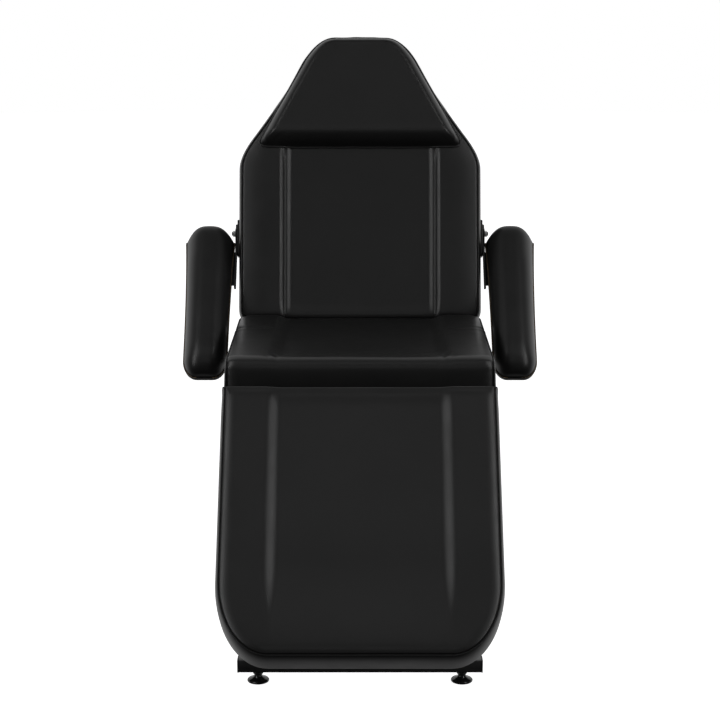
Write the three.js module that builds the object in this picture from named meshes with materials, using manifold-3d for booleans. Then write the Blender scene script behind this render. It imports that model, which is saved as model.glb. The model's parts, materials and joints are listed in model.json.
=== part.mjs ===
// Facial treatment bed: a tube base, a padded seat, a reclining padded back with a
// head pillow and two armrests, and a padded leg rest that lifts up level with the seat.
//
// Millimetres and degrees, +Z up. +X is the sitter's left and the sitter faces -Y.
// Each tilting section is drawn flat in its own group, hinge at the group's origin:
//   back: +Y runs up the backrest from its hinge, +Z is the padded side
//   leg rest and armrests: -Y runs towards their free end, +Z is the padded side
// Both tilting sections stand on an isosceles prop: the prop is as long as the distance
// from the hinge to the prop's pivot, so its cross rod travels along a straight slot
// whose line passes through the hinge.

import * as THREE from "three";
import { mergeVertices } from "three/addons/utils/BufferGeometryUtils.js";
import Module from "manifold-3d";

const wasm = await Module();
wasm.setup();

// ---- Driving dimensions ----
const GAP = 0.3; // between neighbours that touch
const SIDES = [["left", 1], ["right", -1]];

// Padding
const HALF_WIDTH = 300; // every board and the foot of every cushion
const SURFACE = 760; // height of the seat surface
const PAD = 70;
const BOARD = 14;
const FLARE = 11; // how far a cushion's foot stands outside its top seam
const CROWN = 12; // height of a cushion's rounded top edge
const CROWN_INSET = 8;
const BOARD_BOTTOM = SURFACE - PAD - BOARD;

// Tubes
const TUBE = 30;
const SLIM_TUBE = 25;
const WALL = 2;
const TUBE_ROUND = 2.5;
const CAP_FLANGE = 3;
const CAP_INSERT = 14;
const PLATE = 5;

// Base
const RAIL_TOP = BOARD_BOTTOM - GAP;
const RAIL_IN = 200; // inner face of rails and legs
const RAIL_FRONT = -8;
const RAIL_REAR = 995;
const FRONT_LEG_Y = -3; // middle of the front legs and front floor bar
const FOOT_HEIGHT = 25;
const FLOOR_BAR = 560;
const FOOT_SPACING = 466;
const FOOT_RADIUS = 25;
const STUD_RADIUS = 5;
const STUD_TOP = 50;
const LOW_CROSS_Z = 240;

// Seat
const SEAT_FRONT = -4;
const SEAT_REAR = 469;
const SEAT_CORNER = 32;

// Backrest
const BACK_ANGLE = 74; // above level
const BACK_HINGE = { y: 517.7, z: 710 };
const BACK_SURFACE = SURFACE - BACK_HINGE.z; // padded face above the hinge
const BACK_START = 16; // lower edge, measured from the hinge
const BACK_CORNER = 32;
const BACK_END = 721;
const BACK_TUBE_END = 520;

// Leg rest
const LEG_ANGLE = 52; // below level
const LEG_HINGE = { y: -8, z: 662 };
const LEG_SURFACE = SURFACE - LEG_HINGE.z;
const LEG_START = 5;
const LEG_END = 605;
const LEG_TUBE_START = 14;
const LEG_TUBE_END = 545;

// Frames of the tilting sections
const FRAME_IN = 164; // inner face of the slim side tubes
const HINGE_PLATE_IN = FRAME_IN + SLIM_TUBE - 0.5;
const HINGE_PLATE_OUT = 194;
const EAR_IN = 194.7;
const EAR_OUT = RAIL_IN - GAP;
const EAR_RADIUS = 12;
const BOLT_RADIUS = 5;
const BOLT_HOLE = 5.3;
const BOLT_HEAD_RADIUS = 8;
const GUSSET_IN = 174;

// Props
const ROD_RADIUS = 6;
const ROD_HOLE = 6.3;
const PROP_ARM_IN = 150;
const PROP_ARM_THICK = 6;
const PROP_ARM_WIDE = 25;
const PIVOT_ROD = 185; // half length
const CROSS_ROD = RAIL_IN - 0.6;
const LANE = ROD_RADIUS + 0.6; // half height of a rack's slot
const NOTCH_DEPTH = 9;
const NOTCH_PITCH = 34;
const BACK_PROP = { length: 245, crank: 24, slope: 20 }; // crank and slot below the back's line
const LEG_PROP = { length: 190, crank: 20, slope: 90 };

// Armrests
const ARM_PIVOT = { y: 595, z: 938 };
const ARM_ANGLE = 48.5; // below level
const ARM_MIDDLE = 372; // from the bed's centre line
const ARM_REAR = 27; // board's rear corners, measured from the pivot
const ARM_LENGTH = 379;
const ARM_BOARD = { bottom: -14, thick: 12 };
const ARM_HALF = { rear: 60, front: 52 };
const ARM_CORNER = { x: 33, y: 46 }; // rounded front corners, across and along
const ARM_WAIST = 0.35; // where the sides draw in, as a share of the length
const SIDE_PLATE_X = HALF_WIDTH + GAP;
const ARM_EAR_X = SIDE_PLATE_X + PLATE + 0.5;

// ---- Materials ----
const material = (color, roughness, metalness) =>
  new THREE.MeshStandardMaterial({ color, roughness, metalness });
const vinyl = material(0x242424, 0.45, 0);
const blackPaint = material(0x111111, 0.4, 0.6);
const plastic = material(0x0c0c0c, 0.3, 0);
const plywood = material(0xb08c5c, 0.7, 0);
const zinc = material(0xb9bcc0, 0.35, 1);

// ---- Geometry helpers ----
const radians = THREE.MathUtils.degToRad;
const ALONG_X = new THREE.Matrix4().set(0, 0, 1, 0, 1, 0, 0, 0, 0, 1, 0, 0, 0, 0, 0, 1);
const ALONG_Y = new THREE.Matrix4().set(0, 1, 0, 0, 0, 0, 1, 0, 1, 0, 0, 0, 0, 0, 0, 1);

function toSolid(geometry) {
  const bare = geometry.clone();
  bare.deleteAttribute("normal");
  bare.deleteAttribute("uv");
  const merged = mergeVertices(bare, 1e-4);
  return new wasm.Manifold(new wasm.Mesh({
    numProp: 3,
    vertProperties: new Float32Array(merged.attributes.position.array),
    triVerts: new Uint32Array(merged.index.array),
  }));
}

function toGeometry(solid) {
  const mesh = solid.getMesh();
  const geometry = new THREE.BufferGeometry();
  geometry.setAttribute("position", new THREE.BufferAttribute(mesh.vertProperties, 3));
  geometry.setIndex(new THREE.BufferAttribute(mesh.triVerts, 1));
  return geometry;
}

function join(...geometries) {
  return toGeometry(geometries.map(toSolid).reduce((whole, next) => whole.add(next)));
}

function cut(geometry, ...tools) {
  return toGeometry(tools.map(toSolid).reduce((whole, tool) => whole.subtract(tool), toSolid(geometry)));
}

function ringOf(shape, divisions) {
  const points = shape.getPoints(divisions);
  if (points[0].distanceTo(points.at(-1)) < 1e-6) points.pop();
  return points;
}

// An outline that runs anticlockwise, moved inwards.
function inset(points, distance) {
  return points.map((point, i) => {
    const before = point.clone().sub(points.at(i - 1)).normalize();
    const after = points[(i + 1) % points.length].clone().sub(point).normalize();
    const scale = distance / (1 + before.dot(after));
    return new THREE.Vector2(point.x - (before.y + after.y) * scale, point.y + (before.x + after.x) * scale);
  });
}

// A closed skin through outlines of equal length, from the lowest to the highest.
function loft(rings) {
  const count = rings[0].length;
  const index = [];
  for (let ring = 0; ring + 1 < rings.length; ring++) {
    for (let i = 0; i < count; i++) {
      const a = ring * count + i;
      const b = ring * count + (i + 1) % count;
      index.push(a, b, b + count, a, b + count, a + count);
    }
  }
  const triangles = (ring) => THREE.ShapeUtils.triangulateShape(
    ring.map((p) => new THREE.Vector2(p.x, p.y)), []);
  const top = (rings.length - 1) * count;
  for (const [a, b, c] of triangles(rings[0])) index.push(a, c, b);
  for (const [a, b, c] of triangles(rings.at(-1))) index.push(top + a, top + b, top + c);
  const geometry = new THREE.BufferGeometry();
  const positions = rings.flat().flatMap((p) => [p.x, p.y, p.z]);
  geometry.setAttribute("position", new THREE.Float32BufferAttribute(positions, 3));
  geometry.setIndex(index);
  return geometry;
}

// Height may be a number or a function of the point.
function raise(points, height) {
  return points.map((p) => new THREE.Vector3(p.x, p.y, typeof height === "number" ? height : height(p)));
}

function roundedRect(width, height, radius) {
  const x = width / 2;
  const y = height / 2;
  const shape = new THREE.Shape();
  shape.moveTo(-x + radius, -y);
  shape.lineTo(x - radius, -y);
  shape.quadraticCurveTo(x, -y, x, -y + radius);
  shape.lineTo(x, y - radius);
  shape.quadraticCurveTo(x, y, x - radius, y);
  shape.lineTo(-x + radius, y);
  shape.quadraticCurveTo(-x, y, -x, y - radius);
  shape.lineTo(-x, -y + radius);
  shape.quadraticCurveTo(-x, -y, -x + radius, -y);
  return shape;
}

function extrude(shape, depth, curveSegments = 2) {
  return new THREE.ExtrudeGeometry(shape, { depth, bevelEnabled: false, curveSegments });
}

// A square tube with open ends, between two corners, along "x", "y" or "z".
function tube(low, high, axis) {
  const size = new THREE.Vector3().subVectors(high, low);
  const across = { x: [size.y, size.z], y: [size.z, size.x], z: [size.x, size.y] }[axis];
  const shape = roundedRect(across[0], across[1], TUBE_ROUND);
  const x = across[0] / 2 - WALL;
  const y = across[1] / 2 - WALL;
  shape.holes.push(new THREE.Path([[-x, -y], [-x, y], [x, y], [x, -y]].map((p) => new THREE.Vector2(...p))));
  const geometry = extrude(shape, size[axis]);
  if (axis === "x") geometry.applyMatrix4(ALONG_X);
  if (axis === "y") geometry.applyMatrix4(ALONG_Y);
  const middle = new THREE.Vector3().addVectors(low, high).multiplyScalar(0.5);
  middle[axis] = low[axis];
  return geometry.translate(middle.x, middle.y, middle.z);
}

function box(low, high) {
  const size = new THREE.Vector3().subVectors(high, low);
  const middle = new THREE.Vector3().addVectors(low, high).multiplyScalar(0.5);
  return new THREE.BoxGeometry(size.x, size.y, size.z).translate(middle.x, middle.y, middle.z);
}

const at = (x, y, z) => new THREE.Vector3(x, y, z);

// Corners of a box given as ranges, mirrored to one side of the bed.
function sideRange(side, inner, outer, y, z) {
  const xs = [side * inner, side * outer].sort((a, b) => a - b);
  return [at(xs[0], y[0], z[0]), at(xs[1], y[1], z[1])];
}

// A flat plate standing across the bed's X axis; its shape is drawn in (y, z).
function sidePlate(side, inner, outer, shape, curveSegments = 6) {
  const geometry = extrude(shape, outer - inner, curveSegments).applyMatrix4(ALONG_X);
  return geometry.translate(side > 0 ? inner : -outer, 0, 0);
}

// A round bar across the bed, about the point (y, z).
function crossRod(radius, fromX, toX, y = 0, z = 0, segments = 16) {
  const length = Math.abs(toX - fromX);
  const geometry = new THREE.CylinderGeometry(radius, radius, length, segments).rotateZ(Math.PI / 2);
  return geometry.translate((fromX + toX) / 2, y, z);
}

function disc(radius, y, z) {
  const path = new THREE.Path();
  path.absarc(y, z, radius, 0, 2 * Math.PI, true);
  return path;
}

function turned(profile, segments) {
  return new THREE.LatheGeometry(profile.map((p) => new THREE.Vector2(...p)), segments).rotateX(Math.PI / 2);
}

function add(group, name, geometry, slot) {
  const mesh = new THREE.Mesh(geometry, slot);
  mesh.name = name;
  group.add(mesh);
  return mesh;
}

function tilted(pivot, degrees, x = 0) {
  const group = new THREE.Group();
  group.position.set(x, pivot.y, pivot.z);
  group.rotation.x = radians(degrees);
  return group;
}

// ---- Outlines of the padded sections ----
function seatOutline() {
  const shape = roundedRect(2 * HALF_WIDTH, SEAT_REAR - SEAT_FRONT, SEAT_CORNER);
  const middle = (SEAT_FRONT + SEAT_REAR) / 2;
  return ringOf(shape, 4).map((p) => new THREE.Vector2(p.x, p.y + middle));
}

// Straight sides, round shoulders, sloping sides and a narrow head end.
function backOutline() {
  const w = HALF_WIDTH;
  const shape = new THREE.Shape();
  shape.moveTo(-w + BACK_CORNER, BACK_START);
  shape.lineTo(w - BACK_CORNER, BACK_START);
  shape.quadraticCurveTo(w, BACK_START, w, BACK_START + BACK_CORNER);
  shape.lineTo(w, 398);
  shape.quadraticCurveTo(w, 428, 270, 470);
  shape.quadraticCurveTo(199, 565, 139, 664);
  shape.quadraticCurveTo(102, BACK_END, 66, BACK_END);
  shape.lineTo(-66, BACK_END);
  shape.quadraticCurveTo(-102, BACK_END, -139, 664);
  shape.quadraticCurveTo(-199, 565, -270, 470);
  shape.quadraticCurveTo(-w, 428, -w, 398);
  shape.lineTo(-w, BACK_START + BACK_CORNER);
  shape.quadraticCurveTo(-w, BACK_START, -w + BACK_CORNER, BACK_START);
  return ringOf(shape, 5);
}

function pillowOutline() {
  const shape = new THREE.Shape();
  shape.moveTo(-226, 449);
  shape.lineTo(226, 449);
  shape.quadraticCurveTo(251, 449, 244, 466);
  shape.lineTo(134, 663);
  shape.quadraticCurveTo(98, BACK_END - 5, 64, BACK_END - 5);
  shape.lineTo(-64, BACK_END - 5);
  shape.quadraticCurveTo(-98, BACK_END - 5, -134, 663);
  shape.lineTo(-244, 466);
  shape.quadraticCurveTo(-251, 449, -226, 449);
  return ringOf(shape, 4);
}

// Straight across the top, with large elliptical corners at the foot.
function legOutline() {
  const w = HALF_WIDTH;
  const corner = { x: 112, y: 165 };
  const shape = new THREE.Shape();
  shape.moveTo(w, -LEG_START);
  shape.lineTo(-w, -LEG_START);
  shape.lineTo(-w, -LEG_END + corner.y);
  shape.absellipse(-w + corner.x, -LEG_END + corner.y, corner.x, corner.y, Math.PI, 1.5 * Math.PI, false);
  shape.absellipse(w - corner.x, -LEG_END + corner.y, corner.x, corner.y, -0.5 * Math.PI, 0, false);
  return ringOf(shape, 7);
}

// Wide and square behind, waisted, with large rounded corners in front.
function armOutline(rear, grow) {
  const back = ARM_HALF.rear + grow;
  const front = ARM_HALF.front + grow;
  const corner = { x: ARM_CORNER.x + grow, y: ARM_CORNER.y + grow };
  const cornerStart = -ARM_REAR - ARM_LENGTH - grow + corner.y;
  const waist = -ARM_REAR - ARM_LENGTH * ARM_WAIST;
  const shape = new THREE.Shape();
  shape.moveTo(back, -rear);
  shape.lineTo(-back, -rear);
  shape.quadraticCurveTo(-front, waist, -front, cornerStart);
  shape.absellipse(-front + corner.x, cornerStart, corner.x, corner.y, Math.PI, 1.5 * Math.PI, false);
  shape.absellipse(front - corner.x, cornerStart, corner.x, corner.y, -0.5 * Math.PI, 0, false);
  shape.quadraticCurveTo(front, waist, back, -rear);
  return ringOf(shape, 8);
}

// A pad standing on its board at height `foot`, drawn in to its top seam and crowned.
function cushion(outline, foot, top) {
  const height = top - foot;
  return loft([
    raise(outline, foot),
    raise(inset(outline, FLARE * 0.45), foot + height * 0.5),
    raise(inset(outline, FLARE), top - CROWN),
    raise(inset(outline, FLARE + CROWN_INSET), top),
  ]);
}

function board(outline, low, high) {
  return loft([raise(outline, low), raise(outline, high)]);
}

// ---- Base ----
function capAt(tubeLow, tubeHigh, axis, direction) {
  const face = direction > 0 ? tubeHigh[axis] : tubeLow[axis];
  const flange = [tubeLow.clone(), tubeHigh.clone()];
  const plug = [tubeLow.clone().addScalar(WALL + GAP), tubeHigh.clone().subScalar(WALL + GAP)];
  const ends = [face + direction * GAP, face + direction * (GAP + CAP_FLANGE)].sort((a, b) => a - b);
  const plugEnds = [face - direction * CAP_INSERT, face + direction * (GAP + 1)].sort((a, b) => a - b);
  [flange[0][axis], flange[1][axis]] = ends;
  [plug[0][axis], plug[1][axis]] = plugEnds;
  return join(box(...flange), box(...plug));
}

function floorBar(group, name, middleY) {
  const half = FLOOR_BAR / 2 - CAP_FLANGE - GAP;
  const low = at(-half, middleY - TUBE / 2, FOOT_HEIGHT);
  const high = at(half, middleY + TUBE / 2, FOOT_HEIGHT + TUBE);
  const holes = SIDES.map(([, side]) => new THREE.CylinderGeometry(BOLT_HOLE, BOLT_HOLE, 3 * WALL, 16)
    .rotateX(Math.PI / 2).translate(side * FOOT_SPACING / 2, middleY, FOOT_HEIGHT));
  add(group, `${name}_floor_bar`, cut(tube(low, high, "x"), ...holes), blackPaint);
  for (const [sideName, side] of SIDES) {
    add(group, `${name}_floor_bar_cap_${sideName}`, capAt(low, high, "x", side), plastic);
    const foot = add(group, `levelling_foot_${name}_${sideName}`, levellingFoot(), plastic);
    foot.position.set(side * FOOT_SPACING / 2, middleY, 0);
  }
}

// A flared foot with its lock ring and threaded stud.
function levellingFoot() {
  const r = FOOT_RADIUS;
  return turned([[0, 0], [r - 1, 0], [r, 1.5], [r, 4], [r - 3, 6], [14.5, 8.5], [10, 12], [8.7, 16],
    [8.7, 18], [11.5, 18.6], [11.5, 23.4], [STUD_RADIUS, 23.8], [STUD_RADIUS, STUD_TOP], [0, STUD_TOP]], 20);
}

// A plate with a straight slot from `from` to `to` and notches under it. The plate lies
// along its slot, measured from the hinge; `below` turns the notches to either edge.
function rackShape(from, to, above, depth, below) {
  const ends = [from - 22, to + 22];
  const shape = new THREE.Shape([[ends[0], -depth * below], [ends[1], -depth * below],
    [ends[1], above * below], [ends[0], above * below]].map((p) => new THREE.Vector2(...p)));
  const slot = [[from - 9, LANE * below], [to + 9, LANE * below], [to + 9, -LANE * below]];
  const notches = Math.floor((to - from) / NOTCH_PITCH);
  for (let i = 0; i < notches; i++) {
    const x = to - NOTCH_PITCH * (i + 0.5);
    slot.push([x + 8, -LANE * below], [x + 5, -(LANE + NOTCH_DEPTH) * below]);
    slot.push([x - 5, -(LANE + NOTCH_DEPTH) * below], [x - 8, -LANE * below]);
  }
  slot.push([from - 9, -LANE * below]);
  shape.holes.push(new THREE.Path(slot.map((p) => new THREE.Vector2(...p))));
  return shape;
}

// How far from the hinge the cross rod lies when the section has turned to `angle`
// between its crank and the slot.
const rodTravel = (prop, angle) => 2 * prop.length * Math.cos(radians(angle));

function makeBase() {
  const group = new THREE.Group();
  const railLow = RAIL_TOP - TUBE;
  const legBottom = FOOT_HEIGHT + TUBE + GAP;
  const legTop = railLow - GAP;
  const rearLegY = RAIL_REAR - TUBE / 2;
  floorBar(group, "front", FRONT_LEG_Y);
  floorBar(group, "rear", rearLegY);
  for (const [sideName, side] of SIDES) {
    for (const [end, y] of [["front", FRONT_LEG_Y], ["rear", rearLegY]]) {
      const leg = sideRange(side, RAIL_IN, RAIL_IN + TUBE, [y - TUBE / 2, y + TUBE / 2], [legBottom, legTop]);
      add(group, `${end}_leg_${sideName}`, tube(...leg, "z"), blackPaint);
    }
    const rail = sideRange(side, RAIL_IN, RAIL_IN + TUBE, [RAIL_FRONT, RAIL_REAR], [railLow, RAIL_TOP]);
    add(group, `top_rail_${sideName}`, tube(...rail, "y"), blackPaint);
    add(group, `top_rail_cap_${sideName}`, capAt(...rail, "y", 1), plastic);
    addRacks(group, sideName, side);
    addEars(group, sideName, side, railLow);
  }
  const crossTubes = [
    ["front_cross_tube", 22, railLow],
    ["middle_cross_tube", 430, railLow],
    ["rear_low_cross_tube", RAIL_REAR - TUBE, LOW_CROSS_Z],
  ];
  for (const [name, y, z] of crossTubes) {
    const half = RAIL_IN - GAP;
    add(group, name, tube(at(-half, y, z), at(half, y + TUBE, z + TUBE), "x"), blackPaint);
  }
  add(group, "seat_board", board(seatOutline(), BOARD_BOTTOM, BOARD_BOTTOM + BOARD), plywood);
  add(group, "seat_cushion", cushion(seatOutline(), BOARD_BOTTOM + BOARD + GAP, SURFACE), vinyl);
  return group;
}

function addRacks(group, sideName, side) {
  const back = BACK_PROP;
  const backTop = rodTravel(back, BACK_ANGLE - back.crank + back.slope);
  const backFlat = rodTravel(back, back.slope - back.crank);
  const backShape = rackShape(backTop, backFlat, 15, 32, 1);
  const backRack = tilted(BACK_HINGE, -back.slope);
  add(backRack, `back_rack_${sideName}`, sidePlate(side, EAR_IN, EAR_OUT, backShape), blackPaint);
  const leg = LEG_PROP;
  const legDown = rodTravel(leg, leg.slope - LEG_ANGLE - leg.crank);
  const legFlat = rodTravel(leg, leg.slope - leg.crank);
  const legShape = rackShape(legFlat, legDown, 15, 24, 1);
  const legRack = tilted(LEG_HINGE, -leg.slope);
  add(legRack, `leg_rack_${sideName}`, sidePlate(side, EAR_IN, EAR_OUT, legShape), blackPaint);
  group.add(backRack, legRack);
}

// Hinge ears stand on the rails' inner faces, each with its bolt.
function addEars(group, sideName, side, railLow) {
  const backEar = new THREE.Shape();
  backEar.moveTo(BACK_HINGE.y - 45, railLow);
  backEar.lineTo(BACK_HINGE.y + 45, railLow);
  backEar.lineTo(BACK_HINGE.y + 45, RAIL_TOP - 2);
  backEar.lineTo(BACK_HINGE.y + EAR_RADIUS, RAIL_TOP - 2);
  backEar.absarc(BACK_HINGE.y, BACK_HINGE.z, EAR_RADIUS, 0, 0.85 * Math.PI, false);
  backEar.lineTo(BACK_HINGE.y - 45, RAIL_TOP - 2);
  backEar.holes.push(disc(BOLT_HOLE, BACK_HINGE.y, BACK_HINGE.z));
  add(group, `back_hinge_ear_${sideName}`, sidePlate(side, EAR_IN, EAR_OUT, backEar), blackPaint);
  const legEar = new THREE.Shape();
  legEar.moveTo(LEG_HINGE.y, LEG_HINGE.z - EAR_RADIUS);
  legEar.lineTo(22 - GAP, LEG_HINGE.z - EAR_RADIUS);
  legEar.lineTo(22 - GAP, LEG_HINGE.z + EAR_RADIUS);
  legEar.lineTo(LEG_HINGE.y, LEG_HINGE.z + EAR_RADIUS);
  legEar.absarc(LEG_HINGE.y, LEG_HINGE.z, EAR_RADIUS, 0.5 * Math.PI, 1.5 * Math.PI, false);
  legEar.holes.push(disc(BOLT_HOLE, LEG_HINGE.y, LEG_HINGE.z));
  add(group, `leg_hinge_ear_${sideName}`, sidePlate(side, EAR_IN, EAR_OUT, legEar), blackPaint);
  for (const [name, pivot] of [["back", BACK_HINGE], ["leg", LEG_HINGE]]) {
    add(group, `${name}_hinge_bolt_${sideName}`, hingeBolt(side, pivot), zinc);
  }
}

function hingeBolt(side, pivot) {
  const headIn = FRAME_IN + SLIM_TUBE - 7.5;
  const headOut = HINGE_PLATE_IN - GAP;
  const head = crossRod(BOLT_HEAD_RADIUS, side * headIn, side * headOut, pivot.y, pivot.z, 6);
  const shank = crossRod(BOLT_RADIUS, side * (headOut - 1), side * EAR_OUT, pivot.y, pivot.z);
  return join(head, shank);
}

// ---- Frames of the tilting sections ----
// A side frame is one weldment: slim tube, hinge plate and the gusset that holds the prop.
function sideFrame(side, tubeY, tubeZ, plateShape, gussetShape) {
  const bar = tube(...sideRange(side, FRAME_IN, FRAME_IN + SLIM_TUBE, tubeY, tubeZ), "y");
  const plate = sidePlate(side, HINGE_PLATE_IN, HINGE_PLATE_OUT, plateShape);
  const gusset = sidePlate(side, GUSSET_IN, GUSSET_IN + PLATE, gussetShape);
  return join(bar, plate, gusset);
}

function gussetShape(pivotY, pivotZ, top, halfBase) {
  const round = PROP_ARM_WIDE / 2;
  const shape = new THREE.Shape();
  shape.moveTo(pivotY + halfBase, top);
  shape.lineTo(pivotY - halfBase, top);
  shape.absarc(pivotY, pivotZ, round, 1.1 * Math.PI, 1.9 * Math.PI, false);
  shape.holes.push(disc(ROD_HOLE, pivotY, pivotZ));
  return shape;
}

// The prop's pivot in its section's own axes; `along` is +1 up the back, -1 down the leg rest.
function propPivot(prop, along) {
  const angle = radians(prop.crank);
  return { y: along * prop.length * Math.cos(angle), z: -prop.length * Math.sin(angle) };
}

function backHingePlate(top, bottom) {
  const shape = new THREE.Shape();
  shape.moveTo(-EAR_RADIUS, bottom);
  shape.lineTo(70, bottom);
  shape.lineTo(70, top);
  shape.lineTo(EAR_RADIUS, top);
  shape.lineTo(EAR_RADIUS, 0);
  shape.absarc(0, 0, EAR_RADIUS, 0, Math.PI, false);
  shape.holes.push(disc(BOLT_HOLE, 0, 0));
  return shape;
}

function legHingePlate() {
  const shape = new THREE.Shape();
  shape.moveTo(-70, -EAR_RADIUS + 2);
  shape.lineTo(0, -EAR_RADIUS);
  shape.absarc(0, 0, EAR_RADIUS, -0.5 * Math.PI, 0.5 * Math.PI, false);
  shape.lineTo(-70, EAR_RADIUS);
  shape.holes.push(disc(BOLT_HOLE, 0, 0));
  return shape;
}

function crossTubes(group, names, ys, low) {
  names.forEach((name, i) => {
    const half = FRAME_IN - GAP;
    const span = [at(-half, ys[i], low), at(half, ys[i] + SLIM_TUBE, low + SLIM_TUBE)];
    add(group, name, tube(...span, "x"), blackPaint);
  });
}

function makeBack() {
  const group = tilted(BACK_HINGE, BACK_ANGLE);
  const boardLow = BACK_SURFACE - PAD - BOARD;
  const tubeTop = boardLow - GAP;
  const tubeLow = tubeTop - SLIM_TUBE;
  add(group, "back_board", board(backOutline(), boardLow, boardLow + BOARD), plywood);
  add(group, "back_cushion", cushion(backOutline(), boardLow + BOARD + GAP, BACK_SURFACE), vinyl);
  add(group, "head_pillow", headPillow(), vinyl);
  const pivot = propPivot(BACK_PROP, 1);
  for (const [sideName, side] of SIDES) {
    const frame = sideFrame(side, [BACK_START, BACK_TUBE_END], [tubeLow, tubeTop],
      backHingePlate(tubeTop, tubeLow), gussetShape(pivot.y, pivot.z, tubeLow + 1, 55));
    add(group, `back_side_frame_${sideName}`, frame, blackPaint);
    add(group, `armrest_side_plate_${sideName}`, armSidePlate(side), blackPaint);
  }
  crossTubes(group, ["back_cross_tube_lower", "back_cross_tube_upper"], [60, BACK_TUBE_END - SLIM_TUBE], tubeLow);
  return group;
}

// Thick along its lower roll, thin at the head end.
function headPillow() {
  const low = BACK_SURFACE + GAP;
  const thick = { foot: 42, head: 16 };
  const slope = (thick.foot - thick.head) / (BACK_END - 449);
  const height = (p) => thick.foot - slope * (p.y - 449);
  const outline = pillowOutline();
  return loft([
    raise(outline, low),
    raise(outline, (p) => low + 0.6 * height(p)),
    raise(inset(outline, CROWN_INSET), (p) => low + height(p)),
  ]);
}

function makeLegRest() {
  const group = tilted(LEG_HINGE, LEG_ANGLE);
  const boardLow = LEG_SURFACE - PAD - BOARD;
  const tubeTop = boardLow - GAP;
  const tubeLow = tubeTop - SLIM_TUBE;
  add(group, "leg_board", board(legOutline(), boardLow, boardLow + BOARD), plywood);
  add(group, "leg_cushion", cushion(legOutline(), boardLow + BOARD + GAP, LEG_SURFACE), vinyl);
  const pivot = propPivot(LEG_PROP, -1);
  for (const [sideName, side] of SIDES) {
    const frame = sideFrame(side, [-LEG_TUBE_END, -LEG_TUBE_START], [tubeLow, tubeTop],
      legHingePlate(), gussetShape(pivot.y, pivot.z, tubeLow + 1, 45));
    add(group, `leg_side_frame_${sideName}`, frame, blackPaint);
  }
  const ys = [-110, -LEG_TUBE_END];
  crossTubes(group, ["leg_cross_tube_upper", "leg_cross_tube_lower"], ys, tubeLow);
  return group;
}

// ---- Props ----
// One weldment: pivot rod, two flat arms and the cross rod that rides in the racks.
function propBail(length) {
  const pieces = [crossRod(ROD_RADIUS, -PIVOT_ROD, PIVOT_ROD), crossRod(ROD_RADIUS, -CROSS_ROD, CROSS_ROD, length)];
  const wide = PROP_ARM_WIDE / 2;
  for (const [, side] of SIDES) {
    const arm = new THREE.Shape();
    arm.absarc(length, 0, wide, -0.5 * Math.PI, 0.5 * Math.PI, false);
    arm.absarc(0, 0, wide, 0.5 * Math.PI, 1.5 * Math.PI, false);
    pieces.push(sidePlate(side, PROP_ARM_IN, PROP_ARM_IN + PROP_ARM_THICK, arm));
  }
  return join(...pieces);
}

// The prop mirrors its crank about the slot's line.
function makeProp(name, hinge, prop, crankAngle, slotAngle) {
  const pivot = {
    y: hinge.y + prop.length * Math.cos(radians(crankAngle)),
    z: hinge.z + prop.length * Math.sin(radians(crankAngle)),
  };
  const group = tilted(pivot, 2 * slotAngle - crankAngle);
  add(group, name, propBail(prop.length), blackPaint);
  return group;
}

// ---- Armrests ----
// The plate is screwed to the edge of the back board and carries the pivot stud.
function armSidePlate(side) {
  const pivot = armPivotOnBack();
  const plate = roundedRect(92, 42, 8);
  const shape = sidePlate(side, SIDE_PLATE_X, SIDE_PLATE_X + PLATE, plate).translate(0, pivot.y - 12, pivot.z - 6);
  const stud = crossRod(BOLT_RADIUS, side * (SIDE_PLATE_X + 1), side * (ARM_EAR_X + PLATE + 9), pivot.y, pivot.z);
  return join(shape, stud);
}

// The armrest's pivot in the backrest's own axes.
function armPivotOnBack() {
  const y = ARM_PIVOT.y - BACK_HINGE.y;
  const z = ARM_PIVOT.z - BACK_HINGE.z;
  const cos = Math.cos(radians(BACK_ANGLE));
  const sin = Math.sin(radians(BACK_ANGLE));
  return { y: y * cos + z * sin, z: z * cos - y * sin };
}

function makeArmrest(sideName, side) {
  const group = tilted(ARM_PIVOT, ARM_ANGLE);
  const { bottom, thick } = ARM_BOARD;
  const boardOutline = armOutline(ARM_REAR, 0);
  const shift = side * ARM_MIDDLE;
  const armBoard = board(boardOutline, bottom, bottom + thick).translate(shift, 0, 0);
  add(group, `armrest_board_${sideName}`, armBoard, plywood);
  const padLow = bottom + thick + GAP;
  const pad = loft([
    raise(armOutline(ARM_REAR, -1), padLow),
    raise(armOutline(ARM_REAR - 17, 0), padLow + 20),
    raise(armOutline(ARM_REAR - 19, -5), padLow + 38),
    raise(armOutline(ARM_REAR - 6, -20), padLow + 49),
  ]).translate(shift, 0, 0);
  add(group, `armrest_pad_${sideName}`, pad, vinyl);
  add(group, `armrest_bracket_${sideName}`, armBracket(side, bottom), blackPaint);
  const nutIn = ARM_EAR_X + PLATE + GAP;
  const nut = crossRod(BOLT_HEAD_RADIUS, side * nutIn, side * (nutIn + 6), 0, 0, 6);
  const bore = crossRod(BOLT_HOLE, side * (nutIn - 1), side * (nutIn + 7));
  add(group, `armrest_nut_${sideName}`, cut(nut, bore), zinc);
  return group;
}

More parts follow.
